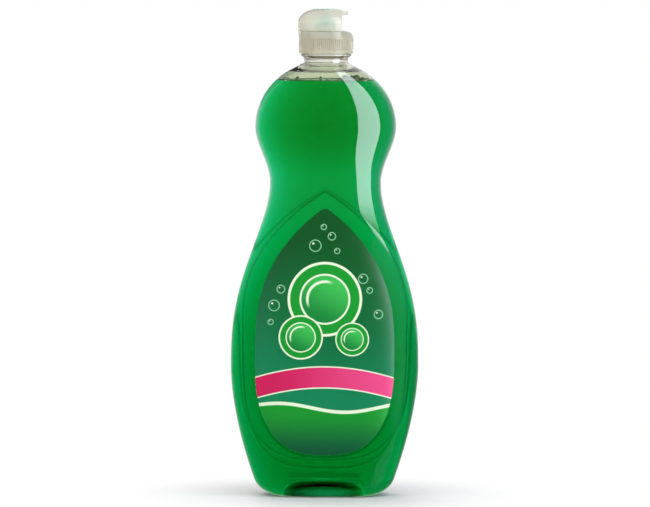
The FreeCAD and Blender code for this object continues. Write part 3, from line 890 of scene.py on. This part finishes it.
def film_label(name, leaf, printed, behind):
    """A disc stretched to the leaf's outline and laid on the panel, then given its thickness."""
    label = turned(name, [(k / LABEL_RINGS, 0.0) for k in range(LABEL_RINGS + 1)], LABEL_STEPS)
    places = vertices_of(label)
    share = np.hypot(places[:, 0], places[:, 1])
    turn = np.arctan2(places[:, 1], places[:, 0])
    x, z = leaf_point(turn, leaf)
    x = x * share
    z = LABEL_MIDDLE + (z - LABEL_MIDDLE) * share
    y = -(front_surface(x, z) + LABEL_LIFT)
    if behind:
        x, y = -x, -y
    put_vertices(label, np.stack([x, y, z], 1))
    edit(label)
    bpy.ops.mesh.select_all(action="SELECT")
    bpy.ops.mesh.normals_make_consistent(inside=False)
    bpy.ops.object.mode_set(mode="OBJECT")
    facing = sum(face.normal.y for face in label.data.polygons)
    if (facing > 0) != behind:
        label.data.flip_normals()
    label.data.materials.append(printed)
    label.data.materials.append(film_reverse_with_painted_glow())
    modify(
        label, "SOLIDIFY", thickness=LABEL_THICKNESS * MM, offset=1.0,
        material_offset=1, material_offset_rim=0,
    )
    return smooth(label, 50)


def leaf_point(turn, leaf):
    """Points of a leaf outline by angle: the same outline that leaf_half_width gives by height."""
    rise, side = np.sin(turn), np.cos(turn)
    upper_z = leaf["widest"] + (leaf["top"] - leaf["widest"]) * np.clip(rise, 0, 1)
    power = leaf["roundness"]
    reach = (np.abs(rise) ** power + np.abs(side) ** power) ** (-1 / power)
    lower_z = leaf["widest"] + (leaf["widest"] - leaf["bottom"]) * rise * reach
    z = np.where(rise >= 0, upper_z, lower_z)
    upper_x = np.sign(side) * leaf_half_width(np.minimum(upper_z, leaf["top"]), leaf)
    x = np.where(rise >= 0, upper_x, leaf["width"] * side * reach)
    return np.where(np.abs(side) < 1e-6, 0.0, x), z


def foam():
    """Small bubbles where the soap meets the wall, more of them at the front right."""
    draw = random.Random(11)
    bubbles = []
    for k in range(BUBBLE_COUNT):
        angle = math.radians(draw.choice([draw.gauss(-50, 16), draw.uniform(-180, 180)]))
        size = draw.uniform(0.35, 1.15)
        if k < len(LARGE_BUBBLES):
            angle, size = math.radians(LARGE_BUBBLES[k][0]), LARGE_BUBBLES[k][1]
        width, depth, _, _ = side_station(SOAP_LEVEL, BODY_WALL + 0.35 + size)
        inward = draw.choice([1.0, 1.0, draw.uniform(0.9, 1.0)])
        x = width * math.cos(angle) * inward
        y = depth * math.sin(angle) * inward
        z = SOAP_LEVEL + size * 0.45 - 0.2
        deselect()
        bpy.ops.mesh.primitive_ico_sphere_add(
            subdivisions=3, radius=size * MM, location=(x * MM, y * MM, z * MM)
        )
        bpy.ops.object.transform_apply(location=True, rotation=True, scale=True)
        bubbles.append(bpy.context.object)
    piece = joined(*bubbles)
    piece.name = "foam_bubbles"
    film = Finish(
        "bubble_film", base_color=(0.96, 1.0, 0.97, 1.0), transmission_weight=1.0, roughness=0.02, ior=1.45
    )
    piece.data.materials.clear()
    piece.data.materials.append(film.material)
    return smooth(piece, 60)


# Pieces of the closure

def cap_body(finish):
    """Skirt, deck, spout and plug turned in one, ribbed outside and dished in front of the lid."""
    profile = [
        (1.8, 266.5), (1.8, 267.3), (2.1, 267.6), (4.6, 267.6), (5.1, 267.5), (5.4, 267.1), (5.4, 266.4),
        (5.5, 265.6), (5.75, 264.7), (6.1, 264.0), (6.7, 263.35), (7.5, 263.05), (8.2, DECK_TOP),
        (9.4, DECK_TOP), (10.4, DECK_TOP), (11.4, DECK_TOP), (12.4, DECK_TOP), (13.3, DECK_TOP),
        (14.1, DECK_TOP), (14.7, DECK_TOP), (15.1, 262.9), (15.33, 262.65), (CAP_RADIUS, 262.3),
        (CAP_RADIUS, 261.0), (CAP_RADIUS, 260.0), (CAP_RADIUS, 259.0),
        (CAP_RADIUS, RIB_ZONE[1] + 0.1), (CAP_RADIUS, RIB_ZONE[1] - 0.15),
        (CAP_RADIUS, 255.0), (CAP_RADIUS, RIB_ZONE[0] + 0.15), (CAP_RADIUS, RIB_ZONE[0] - 0.1),
        (CAP_RADIUS, 250.7), (15.3, 250.35), (15.0, SKIRT_BOTTOM), (14.3, SKIRT_BOTTOM), (CAP_BORE, 250.5),
        (CAP_BORE, 255.0), (CAP_BORE, 261.2), (13.6, DECK_BOTTOM), (11.2, DECK_BOTTOM), (10.75, 261.5),
        (10.75, 259.3), (10.5, 258.75), (10.2, 258.7), (9.8, 258.75), (9.65, 259.0), (9.65, 261.5),
        (9.3, DECK_BOTTOM), (4.5, DECK_BOTTOM), (4.2, 262.0), (4.2, 266.1), (3.9, 266.4), (1.9, 266.4),
        (1.8, 266.5),
    ]
    cap = turned("cap_body", profile, RIB_COUNT * 4)
    places = vertices_of(cap)
    radius = np.hypot(places[:, 0], places[:, 1])
    turn = np.arctan2(places[:, 1], places[:, 0])
    step = np.round(turn / math.tau * RIB_COUNT * 4).astype(int) % 4
    ribbed = (radius > CAP_RADIUS - 0.05) & (places[:, 2] > RIB_ZONE[0]) & (places[:, 2] < RIB_ZONE[1])
    ribbed &= (step >= 2) & (places[:, 0] > SMOOTH_REAR)
    places[:, :2] *= np.where(ribbed, 1 - RIB_DEPTH / CAP_RADIUS, 1.0)[:, None]
    put_vertices(cap, places)
    for plane in (LID_FRONT + 0.02, LID_FRONT + 0.2):
        edit(cap)
        bpy.ops.mesh.select_all(action="SELECT")
        bpy.ops.mesh.bisect(plane_co=(plane * MM, 0, 0), plane_no=(1, 0, 0))
        bpy.ops.object.mode_set(mode="OBJECT")
    places = vertices_of(cap)
    radius = np.hypot(places[:, 0], places[:, 1])
    share = np.clip((radius - (CAP_RADIUS - DISH_REACH)) / DISH_REACH, 0, 1)
    dish = DECK_TOP - DISH_DROP * (1 - np.sqrt(np.maximum(1 - share**2, 0)))
    sunk = (places[:, 0] > LID_FRONT + 0.1) & (radius > CAP_BORE - 5) & (places[:, 2] > dish)
    places[:, 2] = np.where(sunk, dish, places[:, 2])
    put_vertices(cap, places)
    land = block(
        "hinge_land", (HINGE_X, -HINGE_HALF_LENGTH, 260.9),
        (HINGE_X + HINGE_REACH, HINGE_HALF_LENGTH, DECK_TOP), 0.25,
    )
    united(cap, land)
    thread = helix(
        "cap_thread", CAP_THREAD_RADIUS, CAP_BORE + 0.2, 253.2, THREAD_PITCH, 1.3, THREAD_HEIGHT, 0.4
    )
    joined(cap, thread)
    cap.data.materials.append(finish)
    return smooth(cap, 32)


def lid_body(finish):
    """A dome cut flat in front, hollowed, with its lip, its stem and pin, and its hinge land."""
    radius, level = LID_SHOULDER
    dome = [(15.4, LID_BOTTOM), (15.7, 264.6), (15.95, 265.9), LID_SHOULDER]
    for turn in quarter(16)[1:]:
        across = 1 - math.cos(turn)
        climb = (LID_TOP - level) * math.sin(turn)
        dome.append((radius - (radius - LID_FLAT_RADIUS) * across, level + climb))
    dome += [(3.0, LID_TOP), (1.5, LID_TOP), (0.0, LID_TOP)]
    lid = turned("lid_body", dome, 160)
    edit(lid)
    bpy.ops.mesh.select_all(action="SELECT")
    bpy.ops.mesh.bisect(plane_co=(LID_FRONT * MM, 0, 0), plane_no=(1, 0, 0), use_fill=True, clear_outer=True)
    bpy.ops.mesh.select_all(action="SELECT")
    bpy.ops.mesh.normals_make_consistent(inside=False)
    bpy.ops.object.mode_set(mode="OBJECT")
    modify(lid, "BEVEL", width=0.7 * MM, segments=4, limit_method="ANGLE", angle_limit=math.radians(40))
    modify(lid, "SOLIDIFY", thickness=LID_WALL * MM, offset=-1.0, use_even_offset=True)
    lip = thumb_lip()
    stem = turned(
        "stem",
        [(0, 266.7), (0.8, 266.7), (1.62, 267.6), (2.6, 267.7), (3.0, 267.9), (3.0, STEM_TOP), (0, STEM_TOP)],
        48,
    )
    land = block(
        "lid_land", (HINGE_X, -HINGE_HALF_LENGTH, LID_BOTTOM),
        (HINGE_X + HINGE_REACH, HINGE_HALF_LENGTH, 265.2), 0.25,
    )
    united(lid, lip, stem, land)
    closed(lid)
    lid.data.materials.append(finish)
    return smooth(lid, 38)


def thumb_lip():
    """The thumb tab: a bar bowed outwards, with soft edges."""
    low = (LIP_ROOT, -LIP_HALF_LENGTH, LIP_TOP - LIP_THICKNESS)
    lip = block("thumb_lip", low, (LIP_TIP, LIP_HALF_LENGTH, LIP_TOP))
    edit(lip)
    bpy.ops.mesh.select_all(action="SELECT")
    bpy.ops.mesh.subdivide(number_cuts=9)
    bpy.ops.object.mode_set(mode="OBJECT")
    places = vertices_of(lip)
    out = np.clip((places[:, 0] - LIP_ROOT) / (LIP_TIP - LIP_ROOT), 0, 1)
    upper = places[:, 2] > LIP_TOP - LIP_THICKNESS / 2
    places[:, 0] -= LIP_BOW * out * (places[:, 1] / LIP_HALF_LENGTH) ** 2
    places[:, 2] += 0.35 * out**2 * np.where(upper, -1, 0.4)
    put_vertices(lip, places)
    modify(lip, "BEVEL", width=0.45 * MM, segments=3, limit_method="ANGLE", angle_limit=math.radians(50))
    return lip


# The stage

def floor():
    deselect()
    bpy.ops.mesh.primitive_circle_add(vertices=96, radius=0.9, fill_type="NGON", location=(0, 0, 0))
    piece = named("floor")
    finish = Finish("pale_floor", roughness=0.6)
    spot, (x, y, z) = finish.place()
    tone = finish.noise(spot, 6.0)
    finish.set("Base Color", finish.mixed(tone, rgb(238, 239, 238), rgb(244, 244, 243)))
    seen = finish.node("ShaderNodeLightPath", {})
    straight = Value(finish, seen.outputs["Is Camera Ray"])
    glossy = Value(finish, seen.outputs["Is Glossy Ray"])
    through = Value(finish, seen.outputs["Is Transmission Ray"])
    bright = (straight + glossy + through).math("MINIMUM", 1.0)
    away = (x * x + y * y) ** 0.5
    far = finish.edge(away, 35.0, 120.0)
    glow = finish.node("ShaderNodeEmission", {}, (1.0, 1.0, 1.0, 1.0), 1.0)
    blend = finish.node("ShaderNodeMixShader", {}, bright * far)
    finish.tree.links.new(finish.shader.outputs[0], blend.inputs[1])
    finish.tree.links.new(glow.outputs[0], blend.inputs[2])
    finish.tree.links.new(blend.outputs[0], finish.tree.nodes["Material Output"].inputs["Surface"])
    piece.data.materials.append(finish.material)
    piece.visible_glossy = False
    return piece


def softbox(name, centre, aim, width, height, plain, mirrored, colour=(1.0, 1.0, 1.0, 1.0)):
    """A lit panel that only lights and reflections see, brighter in reflections."""
    deselect()
    bpy.ops.mesh.primitive_plane_add(size=1, location=(0, 0, 0))
    piece = named(name)
    piece.scale = (width, height, 1)
    away = Vector(centre) - Vector(aim)
    piece.rotation_euler = away.to_track_quat("Z", "Y").to_euler()
    piece.location = centre
    piece.visible_camera = False
    piece.visible_transmission = False
    finish = Finish(name + "_light")
    seen = finish.node("ShaderNodeLightPath", {})
    glossy = Value(finish, seen.outputs["Is Glossy Ray"])
    glow = finish.node("ShaderNodeEmission", {}, colour, glossy * (mirrored - plain) + plain)
    finish.tree.links.new(glow.outputs[0], finish.tree.nodes["Material Output"].inputs["Surface"])
    piece.data.materials.append(finish.material)
    return piece


def eased(tree, value, low, high, start, end):
    """Runs from start to end while the value runs from low to high."""
    made = tree.nodes.new("ShaderNodeMapRange")
    made.interpolation_type = "SMOOTHSTEP"
    for index, level in enumerate((low, high, start, end), 1):
        made.inputs[index].default_value = level
    tree.links.new(value, made.inputs[0])
    return made.outputs[0]


def surroundings():
    """White all round at eye level and dimmer overhead. Rays that went through the bottle find it
    dimmer on the left, and reflections find a dark room with a pale backdrop behind the bottle."""
    world = bpy.data.worlds.new("studio")
    bpy.context.scene.world = world
    world.use_nodes = True
    tree = world.node_tree
    tree.nodes.clear()
    place = tree.nodes.new("ShaderNodeTexCoord")
    split = tree.nodes.new("ShaderNodeSeparateXYZ")
    tree.links.new(place.outputs["Generated"], split.inputs[0])
    rise = tree.nodes.new("ShaderNodeMath")
    rise.operation = "ABSOLUTE"
    tree.links.new(split.outputs["Z"], rise.inputs[0])
    band = eased(tree, rise.outputs[0], 0.35, 0.9, 1.0, 0.5)
    side = eased(tree, split.outputs["X"], -0.3, 0.0, 0.58, 1.0)
    backdrop = eased(tree, split.outputs["Y"], 0.35, 0.95, 0.07, 0.8)
    behind = tree.nodes.new("ShaderNodeMath")
    behind.operation = "MULTIPLY"
    tree.links.new(side, behind.inputs[0])
    tree.links.new(band, behind.inputs[1])
    seen = tree.nodes.new("ShaderNodeLightPath")
    strength = band
    levels = {"Diffuse": 0.5, "Glossy": backdrop, "Transmission": behind.outputs[0], "Camera": 1.0}
    for ray, level in levels.items():
        mix = tree.nodes.new("ShaderNodeMix")
        tree.links.new(seen.outputs["Is " + ray + " Ray"], mix.inputs[0])
        tree.links.new(strength, mix.inputs[2])
        if isinstance(level, float):
            mix.inputs[3].default_value = level
        else:
            tree.links.new(level, mix.inputs[3])
        strength = mix.outputs[0]
    glow = tree.nodes.new("ShaderNodeBackground")
    glow.inputs["Color"].default_value = (1.0, 1.0, 1.0, 1.0)
    tree.links.new(strength, glow.inputs["Strength"])
    output = tree.nodes.new("ShaderNodeOutputWorld")
    tree.links.new(glow.outputs[0], output.inputs["Surface"])


def camera():
    """A long lens nearly level with the bottle's middle, framed as the photograph."""
    lens_angle = 2 * math.atan(PHOTO_WIDTH_PX * PIXEL / 2 / CAMERA_DISTANCE)
    data = bpy.data.cameras.new("camera")
    data.sensor_fit = "HORIZONTAL"
    data.angle = lens_angle
    data.clip_end = 50
    eye = bpy.data.objects.new("camera", data)
    bpy.context.scene.collection.objects.link(eye)
    bpy.context.scene.camera = eye
    across = (PHOTO_WIDTH_PX / 2 - AXIS_COLUMN_PX) * PIXEL
    up = (FOOT_ROW_PX - PHOTO_HEIGHT_PX / 2) * PIXEL
    tilt = math.radians(CAMERA_ELEVATION)
    aim = Vector((across, 0, up)) * MM
    eye.location = aim + Vector((0, -math.cos(tilt), math.sin(tilt))) * CAMERA_DISTANCE * MM
    eye.rotation_euler = (math.pi / 2 - tilt, 0, 0)
    eye.rotation_euler.rotate_axis("Z", math.radians(CAMERA_ROLL))


# The whole thing

camera()
surroundings()
floor()
# Each panel: centre and aim, width and height in metres, then its strength to the scene and in reflections
softbox("key_softbox", (0.72, -0.45, 0.35), (0, 0, 0.35), 0.60, 3.0, 2.4, 7.2, (0.9, 1.0, 1.12, 1.0))
softbox("fill_softbox", (-1.0, -0.9, 0.7), (0, 0, 0.2), 0.9, 1.4, 2.4, 0.07)
softbox("front_softbox", (0.1, -1.6, 1.5), (0, 0, 0.15), 1.0, 0.8, 3.1, 0.07)
softbox("back_softbox", (-0.5, 1.3, 0.9), (0, 0, 0.15), 1.1, 1.0, 2.6, 0.07)

shell = bottle_shell()
thread = helix(
    "neck_thread", NECK_RADIUS - 0.3, NECK_THREAD_RADIUS, 253.0, THREAD_PITCH, 1.6, THREAD_HEIGHT, 2.2
)
thread.data.materials.append(shell.data.materials[0])
soap = soap_fill()
bubbles = foam()
front_film = film_label("front_label_film", LABEL_LEAF, front_print(), False)
back_film = film_label("back_label_film", BACK_LABEL_LEAF, back_print(), True)
plastic = cap_finish()
cap = cap_body(plastic)
lid = lid_body(plastic)

for piece, body, node, slot in (
    (shell, "bottle", "bottle", "clear_bottle"),
    (soap, "bottle", "dish_soap", "green_soap"),
    (front_film, "bottle", "front_label", "label_film"),
    (back_film, "bottle", "back_label", "label_film"),
    (cap, "cap", "cap_base", "clear_cap"),
    (lid, "lid", "flip_lid", "clear_cap"),
):
    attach(piece, body)
    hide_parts(node)
for piece, slot in ((thread, "clear_bottle"), (bubbles, "green_soap")):
    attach(piece, "bottle")

bpy.context.scene.view_settings.view_transform = "Standard"
